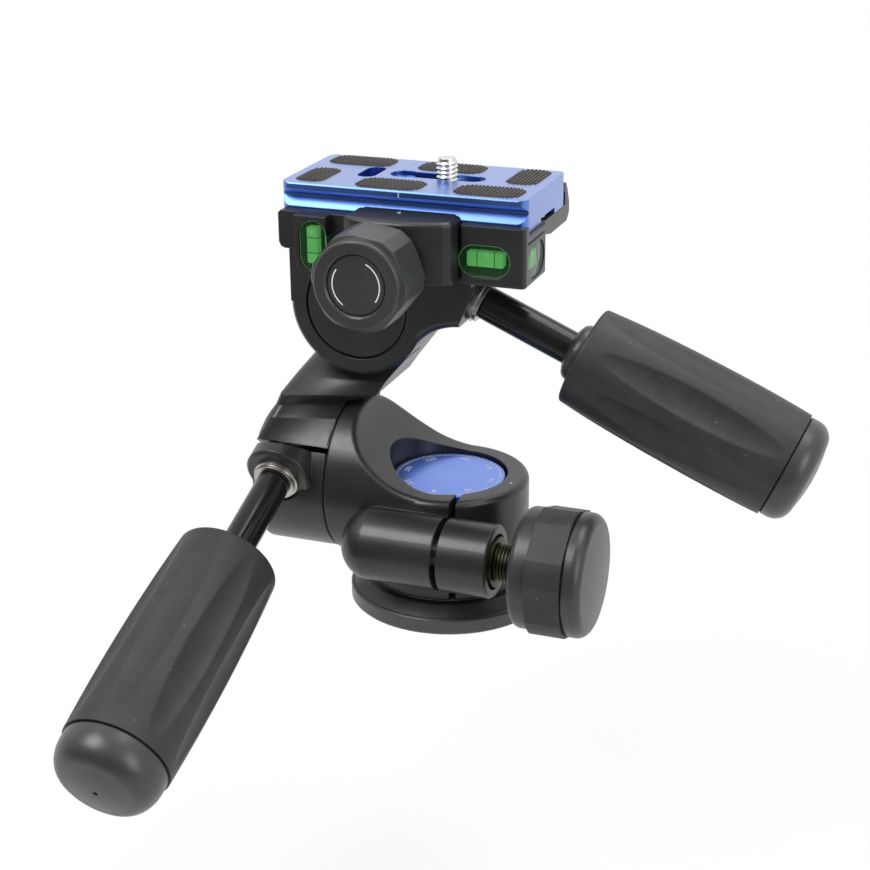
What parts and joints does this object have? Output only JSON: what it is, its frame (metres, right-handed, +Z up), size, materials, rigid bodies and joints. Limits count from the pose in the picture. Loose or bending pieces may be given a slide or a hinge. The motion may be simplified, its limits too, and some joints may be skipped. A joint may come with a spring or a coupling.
{
  "type": "three way pan tilt head",
  "caption": "Three way pan and tilt tripod head with a panning base, front and side tilt clamps worked by two rubber-gripped handles, spirit levels and a dovetail quick release plate",
  "frame": {"origin": "the centre of the 3/8-16 tripod socket's mouth plane: the middle of the base's underside, on the pan axis", "axes": "+Z up along the pan axis; +X along the long side of the plate and along the front tilt axle; -Y is the front, where the jaw knob and the tilt handle point"},
  "size_m": [0.1764, 0.1704, 0.152],
  "materials": {
    "black_casting": "satin",
    "blue_anodised": "satin",
    "black_rod": "gloss",
    "soft_rubber": "matte",
    "black_plastic": "satin",
    "pad_rubber": "matte",
    "steel": "satin",
    "brass": "satin",
    "bearing_plastic": "matte",
    "clear_green": "gloss",
    "green_spirit": "gloss"
  },
  "bodies": {
    "base": {"base_flange": "black_casting", "thread_insert": "steel", "pan_spindle": "steel", "thrust_washer": "bearing_plastic", "pan_retainer": "steel", "retainer_screws": "steel", "pan_dial": "blue_anodised"},
    "pan_housing": {"pan_casting": "black_casting", "pan_bush": "bearing_plastic", "pan_clamp_insert": "brass", "pan_stud": "steel", "tilt_axle": "steel", "tilt_axle_cover": "black_casting", "tilt_axle_screw": "steel"},
    "pan_washers": {"pan_clamp_washers": "brass"},
    "pan_knob": {"pan_knob_core": "black_plastic", "pan_knob_insert": "brass", "pan_knob_ring": "soft_rubber", "pan_knob_cap": "black_plastic"},
    "tilt_arm": {"tilt_arm_casting": "black_casting", "tilt_bush": "bearing_plastic", "side_axle": "steel", "side_axle_disc": "black_casting", "side_thrust_washer": "bearing_plastic", "side_axle_washer": "steel", "side_axle_bolt": "steel"},
    "tilt_washer": {"tilt_handle_washer": "steel"},
    "tilt_handle": {"tilt_handle_stud": "steel", "tilt_handle_rod": "black_rod", "tilt_handle_core": "black_plastic", "tilt_handle_grip": "soft_rubber", "tilt_handle_cap": "black_plastic"},
    "platform": {"platform_casting": "black_casting", "side_bush": "bearing_plastic", "side_cotter": "brass", "side_clamp_sleeve": "steel", "vial_left_block": "clear_green", "vial_left_fluid": "green_spirit", "vial_front_block": "clear_green", "vial_front_fluid": "green_spirit", "vial_end_block": "clear_green", "vial_end_fluid": "green_spirit"},
    "side_washer": {"side_handle_washer": "steel"},
    "side_handle": {"side_handle_stud": "steel", "side_handle_rod": "black_rod", "side_handle_core": "black_plastic", "side_handle_grip": "soft_rubber", "side_handle_cap": "black_plastic"},
    "jaw": {"moving_jaw": "black_casting", "jaw_guide_pins": "steel"},
    "jaw_knob": {"jaw_screw": "steel", "jaw_knob_grip": "black_plastic", "jaw_knob_disc": "black_plastic"},
    "plate": {"quick_release_plate": "blue_anodised", "plate_screws": "steel", "plate_pads": "pad_rubber"},
    "screw_carriage": {"screw_slider": "steel"},
    "camera_screw": {"camera_screw": "steel"}
  },
  "joints": [
    {"name": "pan", "type": "hinge", "parent": "base", "child": "pan_housing", "pos_m": [0, 0, 0.02], "axis": [0, 0, 1], "continuous": true},
    {"name": "front_tilt", "type": "hinge", "parent": "pan_housing", "child": "tilt_arm", "pos_m": [-0.043, 0, 0.036], "axis": [1, 0, 0], "range_deg": [-90, 30]},
    {"name": "side_tilt", "type": "hinge", "parent": "tilt_arm", "child": "platform", "pos_m": [-0.025, 0, 0.092], "axis": [0, 1, 0], "range_deg": [-90, 8]},
    {"name": "pan_washer_slide", "type": "slide", "parent": "pan_housing", "child": "pan_washers", "axis": [1, 0, 0], "range_m": [0, 0.00187]},
    {"name": "pan_knob_turn", "type": "hinge", "parent": "pan_washers", "child": "pan_knob", "pos_m": [0.04, -0.0285, 0.0263], "axis": [1, 0, 0], "range_deg": [0, 540]},
    {"name": "tilt_washer_slide", "type": "slide", "parent": "tilt_arm", "child": "tilt_washer", "axis": [-0.0288, -0.9166, -0.3987], "range_m": [0, 0.00187]},
    {"name": "tilt_handle_turn", "type": "hinge", "parent": "tilt_washer", "child": "tilt_handle", "pos_m": [-0.04572, -0.0288, 0.03956], "axis": [-0.0288, -0.9166, -0.3987], "range_deg": [0, 540]},
    {"name": "side_washer_slide", "type": "slide", "parent": "platform", "child": "side_washer", "axis": [0.9171, 0, -0.3987], "range_m": [0, 0.00187]},
    {"name": "side_handle_turn", "type": "hinge", "parent": "side_washer", "child": "side_handle", "pos_m": [0.01286, 0, 0.09379], "axis": [0.9171, 0, -0.3987], "range_deg": [0, 540]},
    {"name": "jaw_slide", "type": "slide", "parent": "platform", "child": "jaw", "axis": [0, -1, 0], "range_m": [0, 0.0035]},
    {"name": "jaw_knob_turn", "type": "hinge", "parent": "jaw", "child": "jaw_knob", "pos_m": [-0.0097, -0.035, 0.11], "axis": [0, -1, 0], "range_deg": [0, 1260]},
    {"name": "plate_slide", "type": "slide", "parent": "platform", "child": "plate", "axis": [1, 0, 0], "range_m": [-0.01, 0.01]},
    {"name": "screw_slide", "type": "slide", "parent": "plate", "child": "screw_carriage", "axis": [1, 0, 0], "range_m": [-0.011, 0.007]},
    {"name": "camera_screw_turn", "type": "hinge", "parent": "screw_carriage", "child": "camera_screw", "pos_m": [-0.0024, 0.0063, 0.125], "axis": [0, 0, 1], "continuous": true}
  ],
  "couplings": [
    {"joint": "pan_knob_turn", "follows": "pan_washer_slide", "rad_per_m": 5026.5},
    {"joint": "tilt_handle_turn", "follows": "tilt_washer_slide", "rad_per_m": 5026.5},
    {"joint": "side_handle_turn", "follows": "side_washer_slide", "rad_per_m": 5026.5},
    {"joint": "jaw_knob_turn", "follows": "jaw_slide", "rad_per_m": 6283.1}
  ]
}
